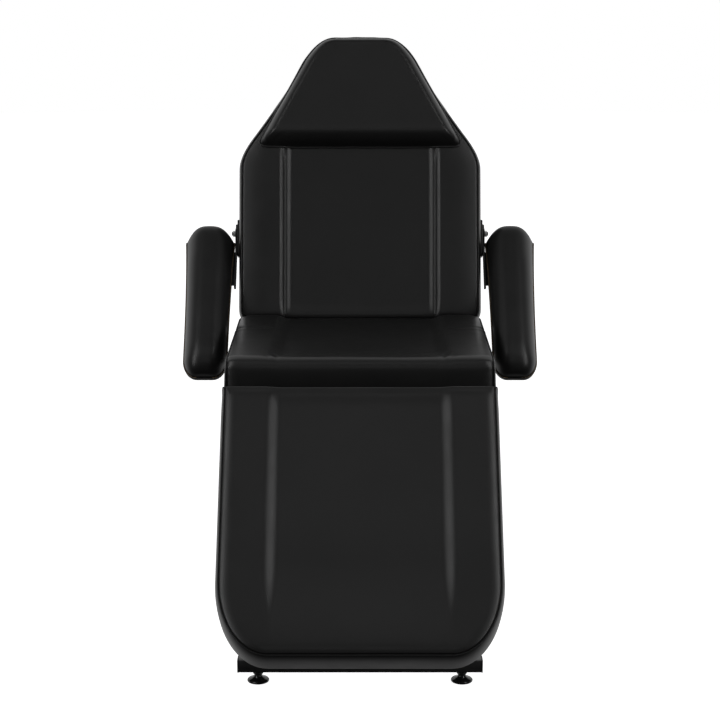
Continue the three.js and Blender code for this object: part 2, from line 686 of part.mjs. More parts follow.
// An L bracket: the ear turns on the pivot stud and the flange lies under the board.
function armBracket(side, boardBottom) {
  const top = boardBottom - GAP;
  const ear = new THREE.Shape();
  ear.moveTo(-150, top + 6);
  ear.lineTo(-150, top - PLATE);
  ear.lineTo(-20, top - PLATE);
  ear.absarc(0, 0, 14, -0.5 * Math.PI, 0.7 * Math.PI, false);
  ear.lineTo(-30, top + 10);
  ear.holes.push(disc(BOLT_HOLE, 0, 0));
  const plate = sidePlate(side, ARM_EAR_X, ARM_EAR_X + PLATE, ear);
  const flange = box(...sideRange(side, ARM_EAR_X + 1, ARM_MIDDLE + 20, [-140, -45], [top - PLATE, top]));
  return join(plate, flange);
}

// ---- Assembly, standing on the floor with the origin under the middle of its box ----
const bed = new THREE.Group();
bed.add(makeBase(), makeBack(), makeLegRest());
const backCrank = BACK_ANGLE - BACK_PROP.crank;
bed.add(makeProp("back_prop", BACK_HINGE, BACK_PROP, backCrank, -BACK_PROP.slope));
const legCrank = 180 + LEG_ANGLE + LEG_PROP.crank;
bed.add(makeProp("leg_prop", LEG_HINGE, LEG_PROP, legCrank, 180 + LEG_PROP.slope));
for (const [sideName, side] of SIDES) bed.add(makeArmrest(sideName, side));

bed.updateMatrixWorld(true);
const bounds = new THREE.Box3().setFromObject(bed, true);
bed.position.set(0, -(bounds.min.y + bounds.max.y) / 2, -bounds.min.z);

export default bed;
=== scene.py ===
# Looks for the facial treatment bed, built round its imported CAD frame.
#
# Metres, in the frame's own axes: +Z up, +X to the sitter's left, the sitter faces -Y.
# Each padded section has local axes (x, s, n): x across the bed, s along the section and
# n out of its padded face. A section's origin is its hinge, except for the seat, where
# it is the front edge of the seat's surface.

import json
import math

import bmesh
import bpy
from mathutils import Matrix, Vector, noise


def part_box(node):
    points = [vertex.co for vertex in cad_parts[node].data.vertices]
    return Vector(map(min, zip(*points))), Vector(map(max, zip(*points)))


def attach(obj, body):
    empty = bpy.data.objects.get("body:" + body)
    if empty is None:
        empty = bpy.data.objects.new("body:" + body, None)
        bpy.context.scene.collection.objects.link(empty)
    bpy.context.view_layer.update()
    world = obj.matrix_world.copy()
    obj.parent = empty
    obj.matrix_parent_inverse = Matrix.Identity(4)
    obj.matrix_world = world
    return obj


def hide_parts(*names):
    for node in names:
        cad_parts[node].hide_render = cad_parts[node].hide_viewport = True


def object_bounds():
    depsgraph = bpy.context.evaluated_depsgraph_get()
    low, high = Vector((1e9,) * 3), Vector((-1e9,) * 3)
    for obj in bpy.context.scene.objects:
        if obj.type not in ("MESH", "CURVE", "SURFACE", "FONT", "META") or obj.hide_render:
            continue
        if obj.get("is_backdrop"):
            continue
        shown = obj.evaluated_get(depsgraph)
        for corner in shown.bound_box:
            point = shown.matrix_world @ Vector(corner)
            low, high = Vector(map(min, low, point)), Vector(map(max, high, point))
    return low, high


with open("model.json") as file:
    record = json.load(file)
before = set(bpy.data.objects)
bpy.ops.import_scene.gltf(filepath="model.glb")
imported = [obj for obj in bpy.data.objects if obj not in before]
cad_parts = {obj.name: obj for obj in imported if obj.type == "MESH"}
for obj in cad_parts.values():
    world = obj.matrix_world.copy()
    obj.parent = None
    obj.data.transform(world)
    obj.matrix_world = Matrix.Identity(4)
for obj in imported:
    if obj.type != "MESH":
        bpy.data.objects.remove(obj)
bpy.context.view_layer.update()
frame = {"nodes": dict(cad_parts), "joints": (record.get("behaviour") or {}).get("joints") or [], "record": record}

MM = 0.001
SIDES = (("left", 1), ("right", -1))
X_AXIS = Vector((1, 0, 0))
Y_AXIS = Vector((0, 1, 0))
Z_AXIS = Vector((0, 0, 1))

# ---- Sizes read from the frame ----
JOINTS = {joint["name"]: joint for joint in frame["joints"]}
BOARD_LOW, BOARD_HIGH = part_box("seat_board")
HALF = BOARD_HIGH.x
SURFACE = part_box("seat_cushion")[1].z
UNDERSIDE = BOARD_LOW.z
THICK = SURFACE - UNDERSIDE
SEAT_DEPTH = BOARD_HIGH.y - BOARD_LOW.y
BACK_HINGE = Vector(JOINTS["back_recline"]["pos_m"])
LEG_HINGE = Vector(JOINTS["leg_rest_lift"]["pos_m"])
ARM_PIVOT = Vector(JOINTS["left_armrest_tilt"]["pos_m"])
BACK_TILT = JOINTS["back_recline"]["range_deg"][1]
LEG_TILT = JOINTS["leg_rest_lift"]["range_deg"][1]
ARM_TILT = 48.5  # below level, at rest
BACK_FACE = SURFACE - BACK_HINGE.z
LEG_FACE = SURFACE - LEG_HINGE.z
ARM_LOW, ARM_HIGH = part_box("armrest_board_left")
ARM_MIDDLE = (ARM_LOW.x + ARM_HIGH.x) / 2

# ---- Upholstery sizes ----
FLARE = 11 * MM  # how far a cushion's foot stands outside its top seam
SEAM_DROP = 4.5 * MM  # seam below the crown of the cushion
CROWN_WIDTH = 24 * MM
PROUD = 0.6 * MM  # vinyl outside the board's edge
WRAP = 28 * MM  # vinyl turned in under the board
WRAP_SINK = 0.25 * MM
EDGE_TURN = 1.5 * MM  # where the vinyl starts to turn under the board
DISH = 11 * MM  # depth of the middle panel between the side bolsters
LEG_DISH = 10 * MM
CREASE_X = 186 * MM
SIDE_BULGE = 3.5 * MM
COLUMN_PITCH = 9
GROOVE = ((0.4, 2.0), (1.2, 4.4), (2.4, 4.2), (3.4, 1.0), (5.4, 2.6))  # out and down, in mm
SIDE_SHARES = (0.15, 0.32, 0.5, 0.68, 0.84, 0.95)  # rings of a cushion's side
WRAP_SHARES = (0.03, 0.15, 0.9, 1)  # rings of the vinyl turned in

# ---- Outlines, in millimetres from each section's origin ----
BACK_START = 16
BACK_END = 721
BACK_CORNER = 32
LEG_START = 5
LEG_END = 605
LEG_CORNER = (112, 165)  # across and along
PILLOW_FOOT = 449
ARM_START = 27
ARM_HALF_REAR = 60
ARM_HALF_FRONT = 52
ARM_CORNER = (33, 46)
ARM_END = 406


# ---- Small tools ----
def smooth(low, high, value):
    t = min(max((value - low) / (high - low), 0), 1)
    return t * t * (3 - 2 * t)


def hump(value, middle, width):
    return math.exp(-((value - middle) / width) ** 2)


def crown(distance, width, power=2.4):
    t = min(max(distance / width, 0), 1)
    return 1 - (1 - t) ** power


def section(origin, degrees, direction):
    """Local (x, s, n) to the frame for a face tilted by `degrees`; s runs along `direction` Y."""
    angle = math.radians(degrees)
    along = Vector((0, direction * math.cos(angle), direction * math.sin(angle)))
    out = Vector((0, -math.sin(angle), math.cos(angle)))
    axes = Matrix((X_AXIS, along, out)).transposed().to_4x4()
    return Matrix.Translation((0, origin[1], origin[2])) @ axes


BACK = section(BACK_HINGE, BACK_TILT, 1)
LEG = section(LEG_HINGE, LEG_TILT, -1)
ARM = section(ARM_PIVOT, ARM_TILT, -1)
SEAT = section((0, BOARD_LOW.y, SURFACE), 0, 1)


def bezier(points, control, end, steps):
    """Adds a quadratic curve to the outline `points`."""
    start = points[-1]
    for i in range(1, steps + 1):
        t = i / steps
        points.append(tuple((1 - t) ** 2 * a + 2 * t * (1 - t) * c + t * t * b
                            for a, c, b in zip(start, control, end)))


def straight(points, end, pitch):
    start = points[-1]
    steps = max(1, round(math.dist(start, end) / pitch))
    for i in range(1, steps + 1):
        points.append(tuple(a + (b - a) * i / steps for a, b in zip(start, end)))


def quarter_turn(points, corner, steps):
    """Adds an elliptical corner, `corner` wide and long, that turns inwards."""
    x, s = points[-1]
    across, along = corner
    for i in range(1, steps + 1):
        angle = math.pi / 2 * i / steps
        points.append((x - across + across * math.cos(angle), s + along * math.sin(angle)))


def scaled(points):
    return [(x * MM, s * MM) for x, s in points]


def inset(side, distance):
    """Moves a symmetric outline inwards; `side` is its +x half, from low s to high s."""
    loop = [Vector(p) for p in side] + [Vector((-x, s)) for x, s in reversed(side)]
    moved = []
    for i, point in enumerate(loop):
        before = (point - loop[i - 1]).normalized()
        after = (loop[(i + 1) % len(loop)] - point).normalized()
        scale = distance / (1 + before.dot(after))
        moved.append((point.x - (before.y + after.y) * scale, point.y + (before.x + after.x) * scale))
    return moved[:len(side)]


def grid_of(side, columns):
    return [[(t * x, s) for t in columns] for x, s in side]


def rim(rows):
    """A grid's outer items in order, once round from the start of its first row."""
    right = [row[-1] for row in rows[1:-1]]
    left = [row[0] for row in reversed(rows[1:-1])]
    return list(rows[0]) + right + list(reversed(rows[-1])) + left


def mirrored(values):
    return [-v for v in reversed(values) if v > 0] + list(values)


def wide_columns():
    """Shares of the half width, closer together at the bolster's crease and at the seam."""
    half = (HALF - FLARE) / MM
    crease = CREASE_X / MM
    values = [x for x in range(0, int(half) - 6, COLUMN_PITCH) if abs(x - crease) > 18]
    values += [crease + d for d in (-17, -13, -9.5, -6.5, -4, -2.2, -1, 0, 1, 2.2, 4, 6.5, 9.5, 13, 17)]
    values += [half - 3, half]
    return mirrored([x / half for x in sorted(values)])


def finish_mesh(bm, name, materials, body, levels=1):
    bmesh.ops.recalc_face_normals(bm, faces=bm.faces)
    mesh = bpy.data.meshes.new(name)
    bm.to_mesh(mesh)
    bm.free()
    for face in mesh.polygons:
        face.use_smooth = True
    for item in materials:
        mesh.materials.append(item)
    piece = bpy.data.objects.new(name, mesh)
    bpy.context.scene.collection.objects.link(piece)
    if levels:
        subdivision = piece.modifiers.new("subdivision", "SUBSURF")
        subdivision.levels = levels
        subdivision.render_levels = levels
    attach(piece, body)
    return piece


def sheet(bm, top):
    """Quads over a grid of points; returns the rows of vertices."""
    rows = [[bm.verts.new(p) for p in row] for row in top]
    for low, high in zip(rows, rows[1:]):
        for i in range(len(low) - 1):
            bm.faces.new((low[i], low[i + 1], high[i + 1], high[i]))
    return rows


def bridge(bm, ring, following):
    """Quads between two closed rings of equal length."""
    for k in range(len(ring)):
        m = (k + 1) % len(ring)
        bm.faces.new((ring[k], ring[m], following[m], following[k]))


def skirt(bm, loop, rings):
    """Hangs rings of points below `loop`; returns the last ring's vertices."""
    for ring in rings:
        fresh = [bm.verts.new(p) for p in ring]
        bridge(bm, loop, fresh)
        loop = fresh
    return loop


def bead(bm, path, radii, sides):
    """A round bead along a closed path."""
    count = len(path)
    rings = []
    for i, (point, radius) in enumerate(zip(path, radii)):
        along = (path[(i + 1) % count] - path[i - 1]).normalized()
        across = along.cross(Z_AXIS if abs(along.z) < 0.9 else X_AXIS).normalized()
        over = across.cross(along)
        rings.append([bm.verts.new(point + (across * math.cos(a) + over * math.sin(a)) * radius)
                      for a in (2 * math.pi * k / sides for k in range(sides))])
    for i, ring in enumerate(rings):
        bridge(bm, ring, rings[(i + 1) % count])


def round_edges(piece, width, degrees, segments=1):
    edges = piece.modifiers.new("edges", "BEVEL")
    edges.width = width
    edges.segments = segments
    edges.limit_method = "ANGLE"
    edges.angle_limit = math.radians(degrees)
    edges.harden_normals = True


def cover_underside(bm, loop):
    lining = bm.faces.new(loop)
    lining.material_index = 1
    bmesh.ops.triangulate(bm, faces=[lining])


def build_pad(name, body, top, outs, downs, foots, wraps, weights, under, bulge):
    """One closed cushion: the panel `top`, a sunk seam round it, a bulging side down to
    `foots`, vinyl turned in to `wraps`, lower by `under`, and a lining across the underside."""
    bm = bmesh.new()
    loop = rim(sheet(bm, top))
    seam = [v.co.copy() for v in loop]
    rings = [[p + (o * out + d * down) * MM * w for p, o, d, w in zip(seam, outs, downs, weights)]
             for out, down in GROOVE]
    shoulder = rings[-1]
    for share in SIDE_SHARES:
        swell = bulge * math.sin(math.pi * share ** 0.6)
        rings.append([a.lerp(b, share) + o * swell for a, b, o in zip(shoulder, foots, outs)])
    rings.append(foots)
    turned_in = [f + under for f in foots]
    rings += [[f.lerp(w, share) for f, w in zip(turned_in, wraps)] for share in WRAP_SHARES]
    cover_underside(bm, skirt(bm, loop, rings))
    return finish_mesh(bm, name, PAD_MATERIALS, body)


def flat_pad(name, body, matrix, side, seam_side, height, face):
    """A pad on a flat board: `side` is its foot outline and height(x, s) its panel."""
    normal = matrix.to_3x3() @ Z_AXIS
    wrap_side = inset(side, WRAP)
    side = inset(side, -PROUD)
    seam = grid_of(seam_side, COLUMNS)
    low = face - THICK
    top = [[matrix @ Vector((x, s, height(x, s))) for x, s in row] for row in seam]
    rim_seam = [Vector(p) for p in rim(seam)]
    rim_foot = [Vector(p) for p in rim(grid_of(side, COLUMNS))]
    rim_wrap = [Vector(p) for p in rim(grid_of(wrap_side, COLUMNS))]
    outs = [matrix.to_3x3() @ (b - a).normalized().to_3d() for a, b in zip(rim_seam, rim_foot)]
    downs = [-normal] * len(outs)
    foots = [matrix @ Vector((p.x, p.y, low + EDGE_TURN)) for p in rim_foot]
    wraps = [matrix @ Vector((p.x, p.y, low - WRAP_SINK)) for p in rim_wrap]
    weights = [1] * len(outs)
    under = -normal * (EDGE_TURN + WRAP_SINK)
    return build_pad(name, body, top, outs, downs, foots, wraps, weights, under, SIDE_BULGE)


def half_width(side, s):
    for (x0, s0), (x1, s1) in zip(side, side[1:]):
        if s <= s1:
            return x0 + (x1 - x0) * min(max((s - s0) / max(s1 - s0, 1e-9), 0), 1)
    return side[-1][0]


def softness(x, s, seed, size=0.16, depth=1.2 * MM):
    """Slow unevenness of the foam under the vinyl."""
    return depth * noise.noise(Vector((x / size, s / size, seed)))


# ---- Materials ----
def new_material(name):
    material = bpy.data.materials.new(name)
    material.use_nodes = True
    nodes = material.node_tree.nodes
    shader = next(n for n in nodes if n.type == "BSDF_PRINCIPLED")
    return material, nodes, material.node_tree.links, shader


def ramp_of(nodes, stops):
    ramp = nodes.new("ShaderNodeValToRGB")
    elements = ramp.color_ramp.elements
    while len(elements) < len(stops):
        elements.new(0.5)
    for element, (place, value) in zip(elements, stops):
        element.position = place
        element.color = (*value, 1) if isinstance(value, tuple) else (value, value, value, 1)
    return ramp


def tinted(nodes, links, shader, stops, source):
    """Colours the shader by a ramp over `source`."""
    tone = ramp_of(nodes, stops)
    links.new(source, tone.inputs["Fac"])
    links.new(tone.outputs["Color"], shader.inputs["Base Color"])


def surface_noise(nodes, links, scale, detail=3, stretch=None):
    coords = nodes.new("ShaderNodeTexCoord")
    texture = nodes.new("ShaderNodeTexNoise")
    texture.inputs["Scale"].default_value = scale
    texture.inputs["Detail"].default_value = detail
    source = coords.outputs["Object"]
    if stretch:
        mapping = nodes.new("ShaderNodeMapping")
        mapping.inputs["Scale"].default_value = stretch
        links.new(source, mapping.inputs["Vector"])
        source = mapping.outputs["Vector"]
    links.new(source, texture.inputs["Vector"])
    return texture.outputs["Fac"]


def ranged(nodes, links, source, low, high, start=0.3, stop=0.7):
    node = nodes.new("ShaderNodeMapRange")
    node.inputs["From Min"].default_value = start
    node.inputs["From Max"].default_value = stop
    node.inputs["To Min"].default_value = low
    node.inputs["To Max"].default_value = high
    links.new(source, node.inputs["Value"])
    return node.outputs["Result"]


def bumped(nodes, links, shader, layers):
    """Stacks (height, strength, distance) layers into the shader's normal."""
    normal = None
    for height, strength, distance in layers:
        bump = nodes.new("ShaderNodeBump")
        bump.inputs["Strength"].default_value = strength
        bump.inputs["Distance"].default_value = distance
        links.new(height, bump.inputs["Height"])
        if normal:
            links.new(normal, bump.inputs["Normal"])
        normal = bump.outputs["Normal"]
    links.new(normal, shader.inputs["Normal"])


def make_vinyl(name, dark, light, smoothest, roughest):
    """Grained artificial leather: fine pebbles, faint handling marks and slow waviness."""
    material, nodes, links, shader = new_material(name)
    coords = nodes.new("ShaderNodeTexCoord")
    pebbles = nodes.new("ShaderNodeTexVoronoi")
    pebbles.feature = "F1"
    pebbles.inputs["Scale"].default_value = 560
    links.new(coords.outputs["Object"], pebbles.inputs["Vector"])
    tinted(nodes, links, shader, ((0.3, dark), (0.7, light)), surface_noise(nodes, links, 7, 2))
    rough = ranged(nodes, links, surface_noise(nodes, links, 22, 2), smoothest, roughest)
    links.new(rough, shader.inputs["Roughness"])
    shader.inputs["Specular IOR Level"].default_value = 0.5
    bumped(nodes, links, shader, (
        (surface_noise(nodes, links, 11, 2), 0.35, 1.2 * MM),
        (pebbles.outputs["Distance"], 0.3, 0.1 * MM),
    ))
    return material


def make_lining():
    """Black non-woven cloth under the boards."""
    material, nodes, links, shader = new_material("black_lining")
    tinted(nodes, links, shader, ((0.35, 0.012), (0.65, 0.03)), surface_noise(nodes, links, 380, 4))
    shader.inputs["Roughness"].default_value = 0.9
    shader.inputs["Specular IOR Level"].default_value = 0.2
    bumped(nodes, links, shader, ((surface_noise(nodes, links, 420, 3), 0.5, 0.3 * MM),))
    return material


def make_powder_coat():
    material, nodes, links, shader = new_material("black_powder_coat")
    tinted(nodes, links, shader, ((0.3, 0.008), (0.7, 0.013)), surface_noise(nodes, links, 30, 3))
    rough = ranged(nodes, links, surface_noise(nodes, links, 60, 3), 0.3, 0.42)
    links.new(rough, shader.inputs["Roughness"])
    shader.inputs["Specular IOR Level"].default_value = 0.5
    bumped(nodes, links, shader, ((surface_noise(nodes, links, 420, 2), 0.25, 0.15 * MM),))
    return material


def make_plastic(name, tone_dark, tone_light, smoothest, roughest, grain):
    material, nodes, links, shader = new_material(name)
    tinted(nodes, links, shader, ((0.3, tone_dark), (0.7, tone_light)), surface_noise(nodes, links, 40, 2))
    rough = ranged(nodes, links, surface_noise(nodes, links, 90, 3), smoothest, roughest)
    links.new(rough, shader.inputs["Roughness"])
    bumped(nodes, links, shader, ((surface_noise(nodes, links, 800, 2), grain, 0.1 * MM),))
    return material


def make_plywood():
    material, nodes, links, shader = new_material("birch_plywood")
    stops = ((0.3, (0.30, 0.19, 0.10)), (0.5, (0.42, 0.29, 0.16)), (0.7, (0.52, 0.38, 0.23)))
    tinted(nodes, links, shader, stops, surface_noise(nodes, links, 12, 6, (1, 14, 14)))
    shader.inputs["Roughness"].default_value = 0.7
    bumped(nodes, links, shader, ((surface_noise(nodes, links, 30, 5, (1, 20, 20)), 0.3, 0.3 * MM),))
    return material


def make_zinc():
    material, nodes, links, shader = new_material("bright_zinc")
    stops = ((0.3, (0.48, 0.49, 0.5)), (0.7, (0.68, 0.68, 0.66)))
    tinted(nodes, links, shader, stops, surface_noise(nodes, links, 160, 4))
    shader.inputs["Metallic"].default_value = 1
    rough = ranged(nodes, links, surface_noise(nodes, links, 200, 3), 0.25, 0.4)
    links.new(rough, shader.inputs["Roughness"])
    bumped(nodes, links, shader, ((surface_noise(nodes, links, 500, 2), 0.1, 0.05 * MM),))
    return material


VINYL = make_vinyl("black_grained_vinyl", 0.0095, 0.0115, 0.34, 0.39)
# Painted highlight: the piping is the same black vinyl, given a lighter base colour so its bead reads as a light
# edge line
PIPING_VINYL_PAINTED_HIGHLIGHT = make_vinyl("piping_vinyl_painted_highlight", 0.014, 0.02, 0.3, 0.38)
LINING = make_lining()
POWDER_COAT = make_powder_coat()
CAP_PLASTIC = make_plastic("matte_cap_plastic", 0.012, 0.018, 0.45, 0.6, 0.4)
FOOT_PLASTIC = make_plastic("glossy_foot_plastic", 0.006, 0.01, 0.08, 0.16, 0.05)
PLYWOOD = make_plywood()
ZINC = make_zinc()
PAD_MATERIALS = [VINYL, LINING]

SLOT_MATERIALS = {
    "black_vinyl": VINYL,
    "painted_steel": POWDER_COAT,
    "black_plastic": CAP_PLASTIC,
    "foot_plastic": FOOT_PLASTIC,
    "plywood": PLYWOOD,
    "zinc_steel": ZINC,
}

# ---- CAD nodes that stay ----
for part in frame["record"]["subparts"]:
    node = frame["nodes"][part["node"]]
    node.data.materials.clear()
    node.data.materials.append(SLOT_MATERIALS[part["material_slot"]])
    if part["material_slot"] in ("painted_steel", "black_plastic", "zinc_steel"):
        for face in node.data.polygons:
            face.use_smooth = True
        weld = node.modifiers.new("weld", "WELD")
        weld.merge_threshold = 0.02 * MM
        round_edges(node, 0.5 * MM, 32, segments=2)


# ---- Flat cushions ----
def back_side():
    half = HALF / MM
    points = [(half - BACK_CORNER, BACK_START)]
    bezier(points, (half, BACK_START), (half, BACK_START + BACK_CORNER), 7)
    straight(points, (half, 398), COLUMN_PITCH)
    bezier(points, (half, 428), (270, 470), 10)
    bezier(points, (199, 565), (139, 664), 22)
    bezier(points, (102, BACK_END), (66, BACK_END), 8)
    return scaled(points)


def leg_side():
    half = HALF / MM
    points = [(half - 3, LEG_START)]
    bezier(points, (half, LEG_START), (half, LEG_START + 3), 2)
    straight(points, (half, LEG_END - LEG_CORNER[1]), COLUMN_PITCH)
    quarter_turn(points, LEG_CORNER, 18)
    return scaled(points)


BACK_SIDE = back_side()
BACK_SEAM = inset(BACK_SIDE, FLARE)
LEG_SIDE = leg_side()
LEG_SEAM = [(x, s - 6 * MM * (1 - smooth(0.016, 0.08, s))) for x, s in inset(LEG_SIDE, FLARE)]


def dish_at(x, depth, inner=166 * MM, outer=201 * MM, crease=1.5 * MM):
    """The middle panel's drop: a slope from the bolster to a crease, then a softer one."""
    ax = abs(x)
    upper = 1 - smooth(CREASE_X, outer, ax)
    lower = 1 - smooth(inner, CREASE_X - 1 * MM, ax)
    return depth * (0.5 * upper + 0.5 * lower) + crease * hump(ax, CREASE_X, 2.2 * MM)


def edge_drop(x, s, seam, width=CROWN_WIDTH, side_drop=SEAM_DROP, power=2.4):
    sides = crown(half_width(seam, s) - abs(x), width, power)
    ends = crown(s - seam[0][1], CROWN_WIDTH * 0.8) * crown(seam[-1][1] - s, CROWN_WIDTH * 0.8)
    return side_drop * (1 - sides) + SEAM_DROP * (1 - ends) * sides


def back_height(x, s):
    lower_end = 1 - 0.6 * (1 - smooth(0.02, 0.07, s))
    upper_end = 1 - smooth(0.5, 0.66, s)
    face = BACK_FACE - edge_drop(x, s, BACK_SEAM, 75 * MM, 7.5 * MM, 2.0)
    dish = dish_at(x, DISH * lower_end * upper_end, crease=2.4 * MM * upper_end)
    return face - dish + softness(x, s, 1.7)


def leg_height(x, s):
    fade = 1 - smooth(0.40, 0.575, s)
    spread = 19 * MM * (0.35 + 0.65 * fade)
    ax = abs(x)
    middle = 1 - smooth(CREASE_X - spread, CREASE_X + spread, ax)
    top_end = 1 - 0.5 * (1 - smooth(0.01, 0.05, s))
    face = LEG_FACE - edge_drop(x, s, LEG_SEAM)
    return face - LEG_DISH * middle * fade * top_end + softness(x, s, 4.2, depth=1.5 * MM)


COLUMNS = wide_columns()

back_pad = flat_pad("back_upholstery", "backrest", BACK, BACK_SIDE, BACK_SEAM,
                    back_height, BACK_FACE)
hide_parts("back_cushion")

leg_pad = flat_pad("leg_upholstery", "legrest", LEG, LEG_SIDE, LEG_SEAM, leg_height, LEG_FACE)
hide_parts("leg_cushion")

# ---- Seat: the panel rolls over the front edge and down the front face ----
FRONT_ROLL = 27 * MM
SEAT_DROP = 5 * MM
SEAT_CROWN = 22 * MM
SEAT_REAR_CROWN = 12 * MM
SEAT_REAR_DROP = 2 * MM
SEAT_BULGE = 1.5 * MM
FRONT_RISE = THICK - FRONT_ROLL - 4 * MM  # straight part of the front face
ROLL_END = FRONT_RISE + FRONT_ROLL * math.pi / 2
SEAT_LENGTH = ROLL_END + SEAT_DEPTH - FRONT_ROLL - FLARE


def seat_profile(p):
    """Point (s, n) and outward direction of the seat's panel, `p` along it from below."""
    if p < FRONT_RISE:
        return Vector((0, p - FRONT_RISE - FRONT_ROLL)), Vector((-1, 0))
    if p < ROLL_END:
        angle = (p - FRONT_RISE) / FRONT_ROLL
        middle = Vector((FRONT_ROLL, -FRONT_ROLL))
        direction = Vector((-math.cos(angle), math.sin(angle)))
        return middle + direction * FRONT_ROLL, direction
    return Vector((FRONT_ROLL + p - ROLL_END, 0)), Vector((0, 1))


def seat_seam_side():
    half = (HALF - FLARE * 0.8) / MM
    length = SEAT_LENGTH / MM
    points = [(half, 0)]
    straight(points, (half, ROLL_END / MM), 6)
    straight(points, (half - 1.5, length - 21), COLUMN_PITCH)
    bezier(points, (half - 1.5, length), (half - 22.5, length), 6)
    return scaled(points)


SEAT_SEAM = seat_seam_side()


def seat_drop(x, p):
    """How far the seat's panel lies inside its profile."""
    s = max(p - ROLL_END + FRONT_ROLL, 0)
    ax = abs(x)
    sides = crown(half_width(SEAT_SEAM, p) - ax, SEAT_CROWN)
    rear = crown(SEAT_LENGTH - p, SEAT_REAR_CROWN)
    drop = SEAT_DROP * (1 - sides) + SEAT_REAR_DROP * (1 - rear) * sides
    drop -= 2.2 * MM * (1 - smooth(FRONT_RISE * 0.8, ROLL_END, p))
    fade = smooth(FRONT_RISE, ROLL_END + 0.09, p)
    drop += DISH * fade * (1 - smooth(CREASE_X - 22 * MM, CREASE_X + 20 * MM, ax))
    bolster = smooth(0.198, 0.225, ax)
    drop += 2.6 * MM * bolster * hump(s, 0.318 + 0.02 * (ax - 0.2), 0.010)
    drop -= 1.8 * MM * bolster * hump(s, 0.300, 0.012)
    fold = hump(ax - 0.186 - 0.35 * (p - ROLL_END), 0, 0.007) * hump(p, ROLL_END + 0.002, 0.03)
    drop += 1.6 * MM * fold
    fold = hump(ax - 0.205 - 0.35 * (p - ROLL_END), 0, 0.006) * hump(p, ROLL_END - 0.006, 0.022)
    drop += 1.1 * MM * fold
    near_seam = hump(half_width(SEAT_SEAM, p) - ax, 0, 0.02)
    pucker = math.sin(p / (9 * MM) * 2 * math.pi) * hump(p, ROLL_END - 0.02, 0.03)
    drop += 0.9 * MM * near_seam * pucker
    return drop - softness(x, p, 8.1, depth=1.6 * MM)


def seat_panel(x, p):
    point, direction = seat_profile(p)
    point = point - direction * seat_drop(x, p)
    return SEAT @ Vector((x, point.x, point.y))


def build_seat():
    seam = grid_of(SEAT_SEAM, COLUMNS)
    top = [[seat_panel(x, p) for x, p in row] for row in seam]
    foot_side = []
    for x, p in SEAT_SEAM:
        s = seat_profile(p)[0].x
        ahead = 34 * MM * math.exp(-max(s - FRONT_ROLL, 0) / 0.08) * smooth(0, ROLL_END, p)
        foot_side.append((min(HALF + PROUD, x + FLARE), s + ahead - 2 * MM * (1 - smooth(0, 0.05, p))))
    rear_shift = SEAT_DEPTH + PROUD - foot_side[-1][1]
    foot_side = [(x, s + rear_shift * smooth(0.2, 0.47, s)) for x, s in foot_side]
    wrap_side = inset(foot_side, WRAP)
    rim_seam = rim(seam)
    rim_foot = rim(grid_of(foot_side, COLUMNS))
    rim_wrap = rim(grid_of(wrap_side, COLUMNS))
    last = len(COLUMNS)
    outs, downs, weights = [], [], []
    for i, (x, p) in enumerate(rim_seam):
        direction = seat_profile(p)[1]
        sideways = Vector((math.copysign(1, x), 0, 0))
        if i < last:
            corner = smooth(0.985, 1, abs(x) / SEAT_SEAM[0][0])
            outs.append((Vector((0, -1, 0)).lerp(sideways, corner)).normalized())
            downs.append(Vector((0, 0, -1)).lerp(Vector((0, 1, 0)), corner).normalized())
            weights.append(0.12 + 0.6 * corner)
        else:
            rear = smooth(SEAT_LENGTH - 21 * MM, SEAT_LENGTH, p)
            outs.append(sideways.lerp(Y_AXIS, rear).normalized())
            downs.append(Vector((0, -direction.x, -direction.y)))
            weights.append(1)
    foots = [SEAT @ Vector((x, s, -THICK + EDGE_TURN)) for x, s in rim_foot]
    wraps = [SEAT @ Vector((x, s, -THICK - WRAP_SINK)) for x, s in rim_wrap]
    under = -Z_AXIS * (EDGE_TURN + WRAP_SINK)
    return build_pad("seat_upholstery", "base", top, outs, downs, foots, wraps, weights, under,
                     SEAT_BULGE)


seat_pad = build_seat()
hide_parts("seat_cushion")


# ---- Head pillow ----
PILLOW_START = PILLOW_FOOT * MM
PILLOW_ROLL = 30 * MM  # length of the steep lower face
PILLOW_THICK = 38 * MM
PILLOW_HEAD_THICK = 25 * MM


def pillow_side():
    points = [(226, PILLOW_FOOT)]
    bezier(points, (253, PILLOW_FOOT), (247, 466), 5)
    straight(points, (137, 664), 6)
    bezier(points, (101, BACK_END - 1), (64, BACK_END - 1), 9)
    return scaled(points)


PILLOW_SIDE = pillow_side()
PILLOW_END = PILLOW_SIDE[-1][1]


def pillow_thickness(x, s):
    along = s - PILLOW_START
    roll = crown(along, PILLOW_ROLL * 1.35, 2.0)
    taper = (along - PILLOW_ROLL) / (PILLOW_END - PILLOW_START - PILLOW_ROLL)
    body = PILLOW_THICK + (PILLOW_HEAD_THICK - PILLOW_THICK) * max(taper, 0)
    sides = crown(half_width(PILLOW_SIDE, s) - abs(x), 34 * MM, 2.6)
    head = crown(PILLOW_END - s, 15 * MM, 2.4)
    thick = body * roll * sides * head
    thick += 1.2 * MM * hump(along, PILLOW_ROLL + 3 * MM, 9 * MM) * sides
    corner = hump(abs(x), 0.218, 0.03) * hump(along, 0.012, 0.02)
    thick += 1.6 * MM * corner * math.sin(abs(x) / (10 * MM) * 2 * math.pi)
    fold = hump(abs(x), 0.058, 0.005) * hump(s, PILLOW_END - 0.014, 0.014)
    return thick + 1.8 * MM * fold


def pillow_height(x, s):
    base = back_height(x, s)
    thick = pillow_thickness(x, s)
    level = smooth(0, 20 * MM, thick)
    return base + (BACK_FACE - base) * level + thick + softness(x, s, 12.5, depth=1.4 * MM) * level


def pillow_columns():
    return mirrored([math.sin(math.pi / 2 * i / 30) for i in range(31)])


